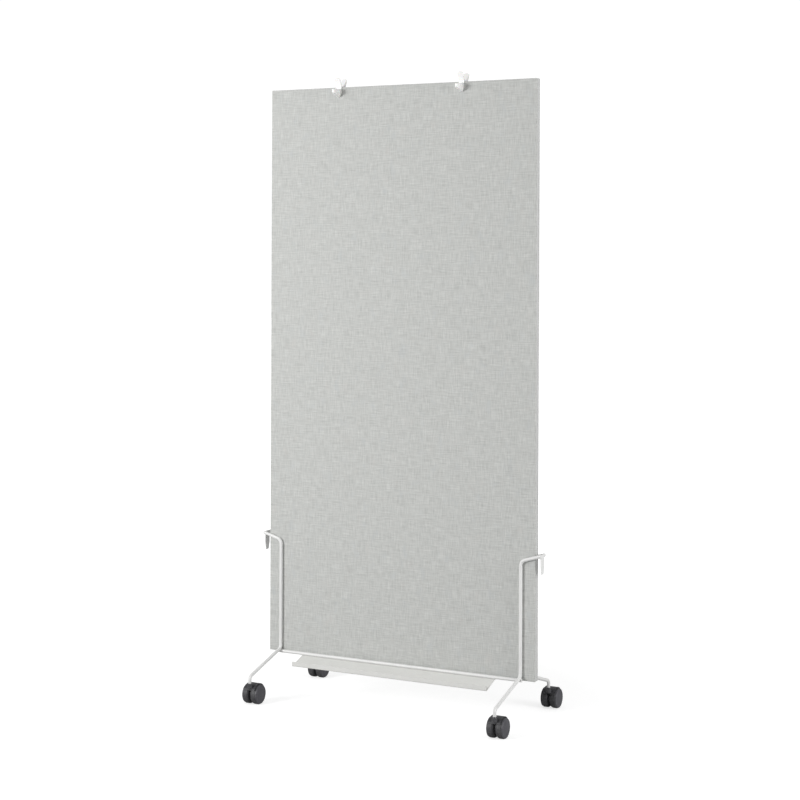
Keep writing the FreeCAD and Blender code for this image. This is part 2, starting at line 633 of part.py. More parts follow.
for face, way in FACES:
    for side, sign in SIDES:
        name = f"{face}_{side}_caster"
        stem_x = f"{sign} * wire_x"
        stem_y = f"mid + {way} * stem_spread"
        axle_y = f"{stem_y} + caster_trail"

        shank = rod(name + "_pin_shank", "pin_diameter / 2", "pin_seat - pin_end_play + collar_gap"
                    " + collar_height + pin_insert", stem_x, stem_y, "boss_top - pin_seat + pin_end_play")
        collar = rod(name + "_pin_collar", "wire_diameter / 2", "collar_height",
                     stem_x, stem_y, "boss_top + collar_gap")
        sub_part(joined(name + "_pin_fuse", [shank, collar]), f"{face}_{side}_pivot_pin")

        half_web = f"{stem_x} - web_thickness / 2"
        half_hood = f"{stem_x} - hood_width / 2"
        web = rod(name + "_web", "web_radius", "web_thickness", half_web, axle_y, "wheel_radius", "X")
        arm = rod(name + "_arm", "hood_radius - hood_thickness / 2", "web_thickness",
                  half_web, axle_y, "wheel_radius", "X")
        hood = rod(name + "_hood", "hood_radius", "hood_width", half_hood, axle_y, "wheel_radius", "X")
        for sector in (arm, hood):
            sector.setExpression("Angle", formula("hood_span"))
            # The sector is turned about the axle so that it starts above the rear of the wheels.
            turn = FreeCAD.Rotation(Vector(1, 0, 0), dims.hood_start)
            along = FreeCAD.Rotation(Vector(0, 0, 1), Vector(1, 0, 0))
            flat = FreeCAD.Rotation(Vector(0, 1, 0), Vector(0, 0, 1), Vector(1, 0, 0), "ZXY")
            sector.Placement = FreeCAD.Placement(sector.Placement.Base, turn * flat)
        boss = rod(name + "_boss", "boss_radius", "boss_depth", stem_x, stem_y, "boss_top - boss_depth")
        wheel_space = rod(name + "_wheel_space", "hood_radius - hood_thickness", "2 * caster_width",
                          f"{stem_x} - caster_width", axle_y, "wheel_radius", "X")
        shell = cut(name + "_shell", joined(name + "_hood_boss", [hood, boss]), wheel_space)
        solid = joined(name + "_solid", [shell, web, arm])
        bores = joined(name + "_bores", [
            rod(name + "_axle_bore", "axle_diameter / 2", "2 * web_thickness",
                f"{stem_x} - web_thickness", axle_y, "wheel_radius", "X"),
            rod(name + "_pin_bore", "pin_diameter / 2 + running_clearance", "pin_seat + 10",
                stem_x, stem_y, "boss_top - pin_seat"),
        ])
        sub_part(cut(name + "_housing_cut", solid, bores), name + "_housing")

        axle_half = "( caster_width / 2 - axle_cover - axle_end_play )"
        sub_part(rod(name + "_axle_rod", "axle_diameter / 2", f"2 * {axle_half}",
                     f"{stem_x} - {axle_half}", axle_y, "wheel_radius", "X"), name + "_axle")

        for flank, lean in SIDES:
            wheel = doc.addObject("PartDesign::Body", f"{name}_{flank}_wheel")
            outer = "caster_width / 2"
            bore = "axle_diameter / 2 + running_clearance"
            rim_in = "tyre_gap / 2 + rim_set_in"
            disc_in = "caster_width / 2 - disc_thickness"
            flange_in = "caster_width / 2 - flange_thickness"
            disc = turned(wheel, f"{name}_{flank}_disc",
                          [("caster_width / 2 - axle_cover", "0"), ("caster_width / 2 - axle_cover", bore),
                           ("web_thickness / 2 + web_play", bore), ("web_thickness / 2 + web_play", "hub_radius"),
                           (disc_in, "hub_radius"), (disc_in, "tyre_inner - rim_thickness"),
                           (rim_in, "tyre_inner - rim_thickness"), (rim_in, "tyre_inner"),
                           (flange_in, "tyre_inner"), (flange_in, "disc_radius"),
                           (outer, "disc_radius"), (outer, "0")])
            doc.recompute()
            face_x = dims.caster_width / 2
            rounded(wheel, f"{name}_{flank}_disc_edge", disc, "disc_round",
                    lambda edge: is_ring(edge, face_x, layout.disc_radius))
            tyre = doc.addObject("PartDesign::Body", f"{name}_{flank}_tyre")
            band = turned(tyre, f"{name}_{flank}_band",
                          rectangle("tyre_gap / 2", flange_in, "tyre_inner", "wheel_radius"))
            inner_side = dims.tyre_gap / 2
            outer_side = dims.caster_width / 2 - dims.flange_thickness
            band = rounded(tyre, f"{name}_{flank}_inner_shoulder", band, "inner_shoulder",
                           lambda edge: is_ring(edge, inner_side, dims.wheel_radius))
            rounded(tyre, f"{name}_{flank}_outer_shoulder", band, "outer_shoulder",
                    lambda edge: is_ring(edge, outer_side, dims.wheel_radius))
            for piece, kind in ((wheel, "wheel"), (tyre, "tyre")):
                if lean < 0:
                    piece.Placement = FreeCAD.Placement(Vector(), FreeCAD.Rotation(Vector(0, 0, 1), 180))
                place(piece, stem_x, axle_y, "wheel_radius")
                sub_part(piece, f"{name}_{flank}_{kind}")

# --- check and write -------------------------------------------------------------------------

doc.recompute()
faulty = [item.Name for item in doc.Objects if "Invalid" in item.State or "Error" in item.State]
if faulty:
    raise RuntimeError("objects that didn't compute: " + ", ".join(faulty))
for piece in sub_parts:
    if piece.Shape.isNull() or not piece.Shape.isValid() or not piece.Shape.Solids:
        raise RuntimeError(piece.Label + " has no valid solid")
if len({piece.Label for piece in sub_parts}) != len(sub_parts):
    raise RuntimeError("two sub-parts share a label")

os.makedirs("parts", exist_ok=True)
for piece in sub_parts:
    piece.Shape.exportStep("parts/" + piece.Label + ".step")
print(len(sub_parts), "sub-parts written")
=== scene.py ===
import math

import bmesh
import bpy
from mathutils import Matrix, Vector, noise


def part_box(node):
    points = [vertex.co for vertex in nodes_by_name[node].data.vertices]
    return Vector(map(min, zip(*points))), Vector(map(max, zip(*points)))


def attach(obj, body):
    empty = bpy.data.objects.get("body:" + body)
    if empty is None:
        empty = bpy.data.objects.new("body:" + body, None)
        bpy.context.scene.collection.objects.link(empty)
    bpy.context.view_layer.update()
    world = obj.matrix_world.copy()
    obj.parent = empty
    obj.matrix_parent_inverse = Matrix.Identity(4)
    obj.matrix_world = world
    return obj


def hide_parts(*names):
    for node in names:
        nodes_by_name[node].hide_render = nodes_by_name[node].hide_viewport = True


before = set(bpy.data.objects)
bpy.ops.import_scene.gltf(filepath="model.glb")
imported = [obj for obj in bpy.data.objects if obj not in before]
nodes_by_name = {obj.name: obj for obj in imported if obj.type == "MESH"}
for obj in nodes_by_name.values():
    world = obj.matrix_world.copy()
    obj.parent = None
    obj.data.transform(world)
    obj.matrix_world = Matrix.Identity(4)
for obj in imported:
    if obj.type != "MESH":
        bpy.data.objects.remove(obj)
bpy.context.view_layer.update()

# ---- Tube frame ------------------------------------------------------------------------------
# Four rectangular aluminium tubes, extruded and cut at 45 degrees, make the panel's inner frame.
# Only their edge shows, as a light line between the two fabric covers. The metal is left natural,
# with fine draw lines along each tube and small scuffs from handling.

MM = 0.001


def put(tree, kind, inputs=(), **settings):
    """Add a node. Each input is a plain value or the output of another node."""
    node = tree.nodes.new(kind)
    for name, value in settings.items():
        setattr(node, name, value)
    for name, value in dict(inputs).items():
        if isinstance(value, bpy.types.NodeSocket):
            tree.links.new(value, node.inputs[name])
        else:
            node.inputs[name].default_value = value
    return node


def work_out(tree, operation, first, second=0.0, third=0.0):
    """One step of arithmetic on numbers."""
    return put(tree, "ShaderNodeMath", {0: first, 1: second, 2: third}, operation=operation).outputs[0]


def mix_colours(tree, share, under, over):
    """Lay one colour over another by a share from 0 to 1."""
    return put(tree, "ShaderNodeMix", {0: share, 6: under, 7: over}, data_type="RGBA").outputs[2]


def spread(tree, value, low, high, new_low=0.0, new_high=1.0):
    """Stretch a range of values onto another, and stop at its ends."""
    ranged = put(tree, "ShaderNodeMapRange", {0: value, 1: low, 2: high, 3: new_low, 4: new_high})
    return ranged.outputs[0]


def local_place(tree):
    """The point on the piece, in metres, which moves with the piece."""
    return put(tree, "ShaderNodeTexCoord").outputs["Object"]


def stretched_noise(tree, place, scales, detail=2.0, roughness=0.5):
    """Cloudy noise with its own number of features per metre along each axis."""
    scaled = put(tree, "ShaderNodeVectorMath", {0: place, 1: scales}, operation="MULTIPLY").outputs[0]
    return put(tree, "ShaderNodeTexNoise", {"Vector": scaled, "Scale": 1.0, "Detail": detail,
                                            "Roughness": roughness}).outputs["Fac"]


def new_effect(name, takes, gives):
    """Start a shader node group from lists of (name, socket type, value) and (name, socket type)."""
    group = bpy.data.node_groups.new(name, "ShaderNodeTree")
    for label, kind, value in takes:
        socket = group.interface.new_socket(name=label, in_out="INPUT", socket_type=kind)
        socket.default_value = value
    for label, kind in gives:
        group.interface.new_socket(name=label, in_out="OUTPUT", socket_type=kind)
    return group, group.nodes.new("NodeGroupInput").outputs, group.nodes.new("NodeGroupOutput").inputs


def use_effect(tree, group, **inputs):
    """Place an effect in a material, with its own values."""
    node = put(tree, "ShaderNodeGroup", node_tree=group)
    for name, value in inputs.items():
        socket = node.inputs[name.replace("_", " ")]
        if isinstance(value, bpy.types.NodeSocket):
            tree.links.new(value, socket)
        else:
            socket.default_value = value
    return node.outputs


def new_finish(name, **plain):
    """Start a material, and set what is the same all over it on its shader."""
    material = bpy.data.materials.new(name)
    material.use_nodes = True
    tree = material.node_tree
    shader = tree.nodes["Principled BSDF"]
    for key, value in plain.items():
        shader.inputs[key.replace("_", " ")].default_value = value
    return material, tree, shader


def drive(tree, shader, colour, roughness, height=None, strength=0.3, depth=0.0002):
    """Join the varying colour, roughness and relief to a material's shader."""
    tree.links.new(colour, shader.inputs["Base Color"])
    tree.links.new(roughness, shader.inputs["Roughness"])
    if height is not None:
        bump = put(tree, "ShaderNodeBump", {"Height": height, "Strength": strength, "Distance": depth})
        tree.links.new(bump.outputs["Normal"], shader.inputs["Normal"])


def finish_nodes(material, *names):
    """Give carried-over solids their finished material."""
    for name in names:
        slots = nodes_by_name[name].data.materials
        slots.clear()
        slots.append(material)


# Broad, faint changes of shade that every made surface has.
shade_drift, given, result = new_effect(
    "Shade drift",
    [("Colour", "NodeSocketColor", (0.5, 0.5, 0.5, 1)),
     ("Deep Colour", "NodeSocketColor", (0.4, 0.4, 0.4, 1)),
     ("Patch Size", "NodeSocketFloat", 0.05), ("Amount", "NodeSocketFloat", 0.5),
     ("Roughness", "NodeSocketFloat", 0.5), ("Roughness Drift", "NodeSocketFloat", 0.08)],
    [("Colour", "NodeSocketColor"), ("Roughness", "NodeSocketFloat")],
)
patch_scale = work_out(shade_drift, "DIVIDE", 1.0, given["Patch Size"])
clouds = put(shade_drift, "ShaderNodeTexNoise",
             {"Vector": local_place(shade_drift), "Scale": patch_scale, "Detail": 4.0}).outputs["Fac"]
cloud_share = work_out(shade_drift, "MULTIPLY", spread(shade_drift, clouds, 0.35, 0.65), given["Amount"])
shade_drift.links.new(mix_colours(shade_drift, cloud_share, given["Colour"], given["Deep Colour"]),
                      result["Colour"])
drifted = work_out(shade_drift, "MULTIPLY_ADD", work_out(shade_drift, "SUBTRACT", clouds, 0.5),
                   given["Roughness Drift"], given["Roughness"])
shade_drift.links.new(drifted, result["Roughness"])

# Edges that hands, floors and other pieces have rubbed.
edge_wear, given, result = new_effect(
    "Edge wear",
    [("Colour", "NodeSocketColor", (0.5, 0.5, 0.5, 1)),
     ("Worn Colour", "NodeSocketColor", (0.7, 0.7, 0.7, 1)),
     ("Amount", "NodeSocketFloat", 0.5), ("Grain", "NodeSocketFloat", 300.0)],
    [("Colour", "NodeSocketColor"), ("Mask", "NodeSocketFloat")],
)
sharpness = spread(edge_wear, put(edge_wear, "ShaderNodeNewGeometry").outputs["Pointiness"], 0.505, 0.56)
rubbed = put(edge_wear, "ShaderNodeTexNoise", {"Vector": local_place(edge_wear), "Scale": given["Grain"],
                                              "Detail": 5.0, "Roughness": 0.7}).outputs["Fac"]
wear_mask = work_out(edge_wear, "MULTIPLY",
                     work_out(edge_wear, "MULTIPLY", sharpness, spread(edge_wear, rubbed, 0.42, 0.6)),
                     given["Amount"])
edge_wear.links.new(mix_colours(edge_wear, wear_mask, given["Colour"], given["Worn Colour"]),
                    result["Colour"])
edge_wear.links.new(wear_mask, result["Mask"])

frame_metal, tree, shader = new_finish("drawn aluminium", Metallic=0.6, Roughness=0.4)
across = stretched_noise(tree, local_place(tree), (14.0, 2600.0, 2600.0), 3.0)
upright = stretched_noise(tree, local_place(tree), (2600.0, 2600.0, 14.0), 3.0)
draw_lines = work_out(tree, "MULTIPLY", across, upright)
toned = use_effect(tree, shade_drift, Colour=(0.92, 0.92, 0.92, 1), Deep_Colour=(0.84, 0.84, 0.85, 1),
                   Patch_Size=0.09, Amount=0.5, Roughness=0.4, Roughness_Drift=0.12)
worn = use_effect(tree, edge_wear, Colour=toned["Colour"], Worn_Colour=(0.93, 0.93, 0.93, 1), Amount=0.4)
drive(tree, shader, worn["Colour"], toned["Roughness"], draw_lines, 0.35, 0.00008)
finish_nodes(frame_metal, "left_stile", "right_stile", "top_rail", "bottom_rail")

# ---- Corner keys -----------------------------------------------------------------------------
# An L-shaped nylon key is pushed into the two tube ends at each corner and holds the mitre shut.
# Moulded black, with the faint grain of a spark-eroded mould.

key_nylon, tree, shader = new_finish("black nylon", Roughness=0.5)
toned = use_effect(tree, shade_drift, Colour=(0.024, 0.024, 0.026, 1), Deep_Colour=(0.014, 0.014, 0.015, 1),
                   Patch_Size=0.02, Amount=0.7, Roughness=0.5, Roughness_Drift=0.15)
mould_grain = stretched_noise(tree, local_place(tree), (2200.0, 2200.0, 2200.0), 2.0)
drive(tree, shader, toned["Colour"], toned["Roughness"], mould_grain, 0.3, 0.00006)
finish_nodes(key_nylon, "corner_keys")

# ---- Honeycomb core --------------------------------------------------------------------------
# Expanded kraft-paper honeycomb is glued between the boards and keeps the wide panel flat.
# Brown paper walls, cells about 12 mm across.

core_paper, tree, shader = new_finish("kraft honeycomb", Roughness=0.85)
cell_place = put(tree, "ShaderNodeVectorMath", {0: local_place(tree), 1: (84.0, 0.0, 84.0)},
                 operation="MULTIPLY").outputs[0]
cell_walls = put(tree, "ShaderNodeTexVoronoi", {"Vector": cell_place, "Scale": 1.0, "Randomness": 0.25},
                 feature="DISTANCE_TO_EDGE").outputs["Distance"]
wall_mask = spread(tree, cell_walls, 0.03, 0.09, 1.0, 0.0)
toned = use_effect(tree, shade_drift, Colour=(0.30, 0.20, 0.11, 1), Deep_Colour=(0.22, 0.14, 0.08, 1),
                   Patch_Size=0.03, Amount=0.8, Roughness=0.85)
drive(tree, shader, mix_colours(tree, wall_mask, toned["Colour"], (0.52, 0.38, 0.24, 1)),
      toned["Roughness"], wall_mask, 0.6, 0.0008)
finish_nodes(core_paper, "honeycomb_core")

# ---- Pin boards ------------------------------------------------------------------------------
# A soft pressed-fibre board on each side takes the pins. It is glued to the frame and the core,
# and its surface is a matted mix of pale and dark fibres.

pin_board, tree, shader = new_finish("pressed fibre board", Roughness=0.9)
toned = use_effect(tree, shade_drift, Colour=(0.42, 0.32, 0.21, 1), Deep_Colour=(0.33, 0.25, 0.16, 1),
                   Patch_Size=0.04, Amount=0.8, Roughness=0.9)
fibres = stretched_noise(tree, local_place(tree), (900.0, 900.0, 260.0), 4.0, 0.7)
fibre_mask = spread(tree, fibres, 0.5, 0.68)
drive(tree, shader, mix_colours(tree, fibre_mask, toned["Colour"], (0.60, 0.50, 0.36, 1)),
      toned["Roughness"], fibres, 0.7, 0.0004)
finish_nodes(pin_board, "front_board", "rear_board")

# ---- Fabric covers ---------------------------------------------------------------------------
# Each side is one piece of heathered linen-look cloth, pulled tight over its board, turned round
# the board's edges and glued down beside the frame. At each corner the spare cloth is folded
# into one flat tuck, and the turned edge is slightly soft where it is rolled under.

ROLLED_EDGE = 1.8 * MM       # radius where the cloth turns over the board's edge
TURNED_UNDER = 0.6 * MM      # radius where the cloth meets the frame
CLOTH = 0.9 * MM             # thickness of the cloth
FACE_SLACK = 0.12 * MM       # the face lies this far inside the solid's face
FACE_RIPPLE = 0.10 * MM      # and ripples by this much
EDGE_SLACK = 0.10 * MM       # the edges lie this far in, and wander by the same
TUCK_REACH = 15 * MM         # length of the folded wedge at each corner
TUCK_DEPTH = 0.72            # its width, as a share of the turned edge


def corners(node):
    """The lowest and highest corner of a solid's box."""
    low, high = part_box(node)
    return Vector(low), Vector(high)


def linked(name, mesh):
    """Put a finished mesh in the scene as a piece."""
    piece = bpy.data.objects.new(name, mesh)
    bpy.context.scene.collection.objects.link(piece)
    return piece


def shaded(piece, angle=35.0):
    """Smooth the shading, but keep edges sharper than the angle crisp."""
    piece.data.polygons.foreach_set("use_smooth", [True] * len(piece.data.polygons))
    piece.data.set_sharp_from_angle(angle=math.radians(angle))
    return piece


def piece_from(form, name, angle=35.0):
    """Turn a bmesh into a piece with its faces turned outward."""
    mesh = bpy.data.meshes.new(name)
    form.to_mesh(mesh)
    form.free()
    return shaded(linked(name, mesh), angle)


def finished(piece, material, slot, body, *nodes):
    """Dress a piece, and say what it moves with and which solids it stands for."""
    piece.data.materials.clear()
    piece.data.materials.append(material)
    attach(piece, body)
    if nodes:
        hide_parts(*nodes)


def block_form(low, high):
    """A box as a bmesh, from its lowest and highest corners."""
    form = bmesh.new()
    bmesh.ops.create_cube(form, size=1.0)
    for vertex in form.verts:
        vertex.co = [low[axis] + (vertex.co[axis] + 0.5) * (high[axis] - low[axis]) for axis in range(3)]
    return form


# Plain weave with uneven yarn. Warp runs up the panel, weft across it.
linen_weave, given, result = new_effect(
    "Linen weave",
    [("Thread Pitch", "NodeSocketFloat", 0.0008), ("Slub", "NodeSocketFloat", 0.5)],
    [("Shade", "NodeSocketFloat"), ("Tint", "NodeSocketFloat"), ("Height", "NodeSocketFloat")],
)
parts = put(linen_weave, "ShaderNodeSeparateXYZ", {0: local_place(linen_weave)}).outputs
along = work_out(linen_weave, "ADD", parts["X"], parts["Y"])
cloth_place = put(linen_weave, "ShaderNodeCombineXYZ", {0: along, 1: parts["Z"], 2: 0.0}).outputs[0]
threads_per_metre = work_out(linen_weave, "DIVIDE", 1.0, given["Thread Pitch"])
warp_phase = work_out(linen_weave, "MULTIPLY", along, threads_per_metre)
weft_phase = work_out(linen_weave, "MULTIPLY", parts["Z"], threads_per_metre)
warp_turn = work_out(linen_weave, "MULTIPLY", warp_phase, math.pi)
weft_turn = work_out(linen_weave, "MULTIPLY", weft_phase, math.pi)
warp_round = work_out(linen_weave, "ABSOLUTE", work_out(linen_weave, "SINE", warp_turn))
weft_round = work_out(linen_weave, "ABSOLUTE", work_out(linen_weave, "SINE", weft_turn))
warp_count = work_out(linen_weave, "FLOOR", warp_phase)
weft_count = work_out(linen_weave, "FLOOR", work_out(linen_weave, "ADD", weft_phase, 4000.0))
over_under = work_out(linen_weave, "MODULO", work_out(linen_weave, "ADD", warp_count, weft_count), 2.0)
over_warp = work_out(linen_weave, "ABSOLUTE", over_under)
woven = work_out(linen_weave, "ADD", work_out(linen_weave, "MULTIPLY", warp_round, over_warp),
                 work_out(linen_weave, "MULTIPLY", weft_round,
                          work_out(linen_weave, "SUBTRACT", 1.0, over_warp)))
fine_warp = stretched_noise(linen_weave, cloth_place, (1150.0, 42.0, 1.0), 3.0, 0.6)
fine_weft = stretched_noise(linen_weave, cloth_place, (38.0, 1150.0, 1.0), 3.0, 0.6)
slub_warp = stretched_noise(linen_weave, cloth_place, (310.0, 26.0, 1.0), 2.0, 0.55)
slub_weft = stretched_noise(linen_weave, cloth_place, (22.0, 310.0, 1.0), 2.0, 0.55)
fine_yarn = work_out(linen_weave, "ADD", fine_warp, fine_weft)
slub_yarn = work_out(linen_weave, "ADD", slub_warp, slub_weft)
yarn_shade = work_out(linen_weave, "MULTIPLY_ADD", slub_yarn, given["Slub"],
                      work_out(linen_weave, "MULTIPLY", fine_yarn, 0.5))
linen_weave.links.new(yarn_shade, result["Shade"])
tint_patches = stretched_noise(linen_weave, cloth_place, (31.0, 18.0, 1.0), 3.0, 0.6)
linen_weave.links.new(tint_patches, result["Tint"])
linen_weave.links.new(work_out(linen_weave, "MULTIPLY_ADD", slub_yarn, 0.6, woven), result["Height"])

linen, tree, shader = new_finish("heathered linen", Roughness=0.92, Sheen_Weight=0.18, Sheen_Roughness=0.5,
                                 Specular_IOR_Level=0.25)
weave = use_effect(tree, linen_weave, Thread_Pitch=0.0008, Slub=0.5)
LIGHT_YARN = (0.66, 0.668, 0.648, 1)
DARK_YARN = (0.395, 0.402, 0.388, 1)
COOL_YARN = (0.50, 0.522, 0.525, 1)
WARM_YARN = (0.55, 0.535, 0.512, 1)
yarn = mix_colours(tree, spread(tree, weave["Shade"], 0.72, 1.28), DARK_YARN, LIGHT_YARN)
cool_share = spread(tree, weave["Tint"], 0.42, 0.30, 0.0, 0.4)
warm_share = spread(tree, weave["Tint"], 0.60, 0.72, 0.0, 0.35)
heather = mix_colours(tree, warm_share, mix_colours(tree, cool_share, yarn, COOL_YARN), WARM_YARN)
drive(tree, shader, heather, spread(tree, weave["Shade"], 0.6, 1.4, 0.97, 0.86), weave["Height"],
      0.35, 0.00016)


def board_cover(name, node, facing):
    """A taut skin over one board. facing is the way that its face looks along Y."""
    low, high = corners(node)
    middle = (low + high) / 2
    form = block_form(low, high)
    face_y = high.y if facing > 0 else low.y
    back_y = low.y if facing > 0 else high.y
    rim = [edge for edge in form.edges if any(abs(v.co.y - back_y) > 1e-6 for v in edge.verts)]
    bmesh.ops.bevel(form, geom=rim, offset=ROLLED_EDGE, segments=5, profile=0.5, affect="EDGES")
    seam = [edge for edge in form.edges if all(abs(v.co.y - back_y) < 1e-6 for v in edge.verts)
            and len(edge.link_faces) == 2
            and any(abs(face.normal.y) < 0.5 for face in edge.link_faces)]
    bmesh.ops.bevel(form, geom=seam, offset=TURNED_UNDER, segments=3, profile=0.5, affect="EDGES")
    form.normal_update()
    back = [face for face in form.faces if all(abs(v.co.y - back_y) < 1e-6 for v in face.verts)]
    bmesh.ops.delete(form, geom=back, context="FACES")
    for axis, count in ((0, 30), (2, 58)):
        direction = Vector((1, 0, 0)) if axis == 0 else Vector((0, 0, 1))
        for step in range(1, count):
            spot = low + (high - low) * (step / count)
            bmesh.ops.bisect_plane(form, geom=form.verts[:] + form.edges[:] + form.faces[:],
                                   plane_co=spot, plane_no=direction)
    half = (high - low) / 2
    for vertex in form.verts:
        point = vertex.co
        reach_x = abs(point.x - middle.x) / half.x
        reach_z = abs(point.z - middle.z) / half.z
        swell = (1 - reach_x ** 6) * (1 - reach_z ** 6)
        ripple = noise.noise(Vector((point.x * 5, facing * 3.0, point.z * 4)))
        if abs(point.y - face_y) < ROLLED_EDGE:
            point.y -= facing * (FACE_SLACK - FACE_RIPPLE * ripple * swell)
        slack = noise.noise(Vector((point.x * 21, 7.0 + facing, point.z * 21)))
        if reach_x > 0.996:
            point.x -= math.copysign(EDGE_SLACK * (1 + slack), point.x - middle.x)
        if reach_z > 0.998:
            point.z -= math.copysign(EDGE_SLACK * (1 + slack), point.z - middle.z)
    # The corner tucks: one thin folded wedge of cloth on each end of the top and bottom turns.
    depth = (face_y - back_y) * TUCK_DEPTH
    for side in (-1, 1):
        for level in (-1, 1):
            edge_x = middle.x + side * (half.x - 1.6 * MM)
            edge_z = middle.z + level * (half.z - 0.05 * MM)
            start_y = back_y + (face_y - back_y) * 0.06
            outline = [(edge_x, start_y), (edge_x - side * TUCK_REACH, start_y), (edge_x, start_y + depth)]
            rings = []
            for lift in (-0.3 * MM, 0.22 * MM):
                rings.append([form.verts.new((x, y, edge_z + level * lift)) for x, y in outline])
            form.faces.new(rings[0])
            form.faces.new(rings[1])
            for index in range(3):
                follow = (index + 1) % 3
                form.faces.new((rings[0][index], rings[0][follow], rings[1][follow], rings[1][index]))
    bmesh.ops.recalc_face_normals(form, faces=form.faces[:])
    piece = piece_from(form, name, 50)
    thickness = piece.modifiers.new("cloth", "SOLIDIFY")
    thickness.thickness = CLOTH
    thickness.offset = -1.0
    finished(piece, linen, "cover_fabric", "stand", node)


for side_name, facing in (("front", -1), ("rear", 1)):
    board_cover(side_name + "_cover", side_name + "_fabric", facing)

# ---- Base wires ------------------------------------------------------------------------------
# Four round steel wires, each bent to shape, stand in pairs on either side of the panel. Each is
# leg, upright and top arm in one. Powder coated in a pale silver grey, slightly uneven like all
# powder coat, and a little dull near the floor.

powder_skin, given, result = new_effect(
    "Powder coat",
    [("Grain", "NodeSocketFloat", 1400.0), ("Flow", "NodeSocketFloat", 160.0)],
    [("Height", "NodeSocketFloat"), ("Speck", "NodeSocketFloat")],
)
grain = put(powder_skin, "ShaderNodeTexNoise", {"Vector": local_place(powder_skin), "Scale": given["Grain"],
                                               "Detail": 2.0}).outputs["Fac"]
flow = put(powder_skin, "ShaderNodeTexNoise", {"Vector": local_place(powder_skin), "Scale": given["Flow"],
                                              "Detail": 1.0}).outputs["Fac"]
powder_skin.links.new(work_out(powder_skin, "MULTIPLY_ADD", flow, 1.6, grain), result["Height"])
powder_skin.links.new(spread(powder_skin, grain, 0.60, 0.72), result["Speck"])

# Dust that gathers on what is close to the floor.
floor_dust, given, result = new_effect(
    "Floor dust",
    [("Colour", "NodeSocketColor", (0.5, 0.5, 0.5, 1)), ("Reach", "NodeSocketFloat", 0.08),
     ("Amount", "NodeSocketFloat", 0.4)],
    [("Colour", "NodeSocketColor"), ("Mask", "NodeSocketFloat")],
)
height_up = put(floor_dust, "ShaderNodeSeparateXYZ", {0: local_place(floor_dust)}).outputs["Z"]
low_down = work_out(floor_dust, "SUBTRACT", 1.0, work_out(floor_dust, "DIVIDE", height_up, given["Reach"]))
settled = put(floor_dust, "ShaderNodeTexNoise", {"Vector": local_place(floor_dust), "Scale": 130.0,
                                                "Detail": 6.0, "Roughness": 0.7}).outputs["Fac"]
dust_mask = work_out(floor_dust, "MULTIPLY",
                     work_out(floor_dust, "MULTIPLY", spread(floor_dust, low_down, 0.0, 1.0),
                              spread(floor_dust, settled, 0.40, 0.72)), given["Amount"])
floor_dust.links.new(mix_colours(floor_dust, dust_mask, given["Colour"], (0.42, 0.40, 0.37, 1)),
                     result["Colour"])
floor_dust.links.new(dust_mask, result["Mask"])


def powder_finish(name, colour, deep_colour, roughness, speck_colour):
    """A powder coated finish in one colour."""
    material, tree, shader = new_finish(name, Roughness=roughness, Coat_Weight=0.12, Coat_Roughness=0.3)
    toned = use_effect(tree, shade_drift, Colour=colour, Deep_Colour=deep_colour, Patch_Size=0.06,
                       Amount=0.55, Roughness=roughness, Roughness_Drift=0.12)
    skin = use_effect(tree, powder_skin)
    specked = mix_colours(tree, work_out(tree, "MULTIPLY", skin["Speck"], 0.25), toned["Colour"],
                          speck_colour)
    worn = use_effect(tree, edge_wear, Colour=specked, Worn_Colour=(0.62, 0.62, 0.61, 1), Amount=0.25)
    dusty = use_effect(tree, floor_dust, Colour=worn["Colour"], Reach=0.13, Amount=0.25)
    drive(tree, shader, dusty["Colour"], toned["Roughness"], skin["Height"], 0.16, 0.00012)
    return material


base_paint = powder_finish("pale grey powder coat", (0.80, 0.80, 0.79, 1), (0.73, 0.73, 0.725, 1), 0.42,
                           (0.66, 0.66, 0.66, 1))
places = [f"{face}_{side}" for face in ("front", "rear") for side in ("left", "right")]
finish_nodes(base_paint, *[place + "_wire" for place in places])

# ---- Cross wires and welds -------------------------------------------------------------------
# A straight wire joins the two uprights on each face, welded against their lower bends. The weld
# beads are small and rippled, and lie under the same powder coat as the wire.

WELD_LENGTH = 9 * MM
WELD_RADIUS = 2.1 * MM
BEAD_ASIDE = 2.9 * MM        # of each bead from the wires' point of contact
BEAD_DROP = 0.9 * MM         # of both beads below the top of the contact
TOWARD_PANEL = 0.6 * MM      # shift of the contact toward the panel
finish_nodes(base_paint, "front_cross_wire", "rear_cross_wire")


def weld_bead(name, centre, direction, length=WELD_LENGTH, radius=WELD_RADIUS):
    """A rippled bead, like a row of overlapping coins."""
    form = bmesh.new()
    rings, sides, ripples = 30, 14, 7
    direction = direction.normalized()
    aside = direction.orthogonal().normalized()
    other = direction.cross(aside)
    loops = []
    for ring in range(1, rings):
        share = ring / rings
        ripple = 1 + 0.09 * math.sin(share * 2 * math.pi * ripples)
        size = radius * (math.sin(share * math.pi) ** 0.45) * ripple
        spot = centre + direction * (share - 0.5) * length
        loops.append([form.verts.new(spot + (aside * math.cos(turn) + other * math.sin(turn)) * size)
                      for turn in [2 * math.pi * step / sides for step in range(sides)]])
    for first, second in zip(loops, loops[1:]):
        for step in range(sides):
            follow = (step + 1) % sides
            form.faces.new((first[step], first[follow], second[follow], second[step]))
    form.faces.new(loops[0])
    form.faces.new(loops[-1])
    bmesh.ops.recalc_face_normals(form, faces=form.faces[:])
    finished(piece_from(form, name, 60), base_paint, "base_paint", "stand")


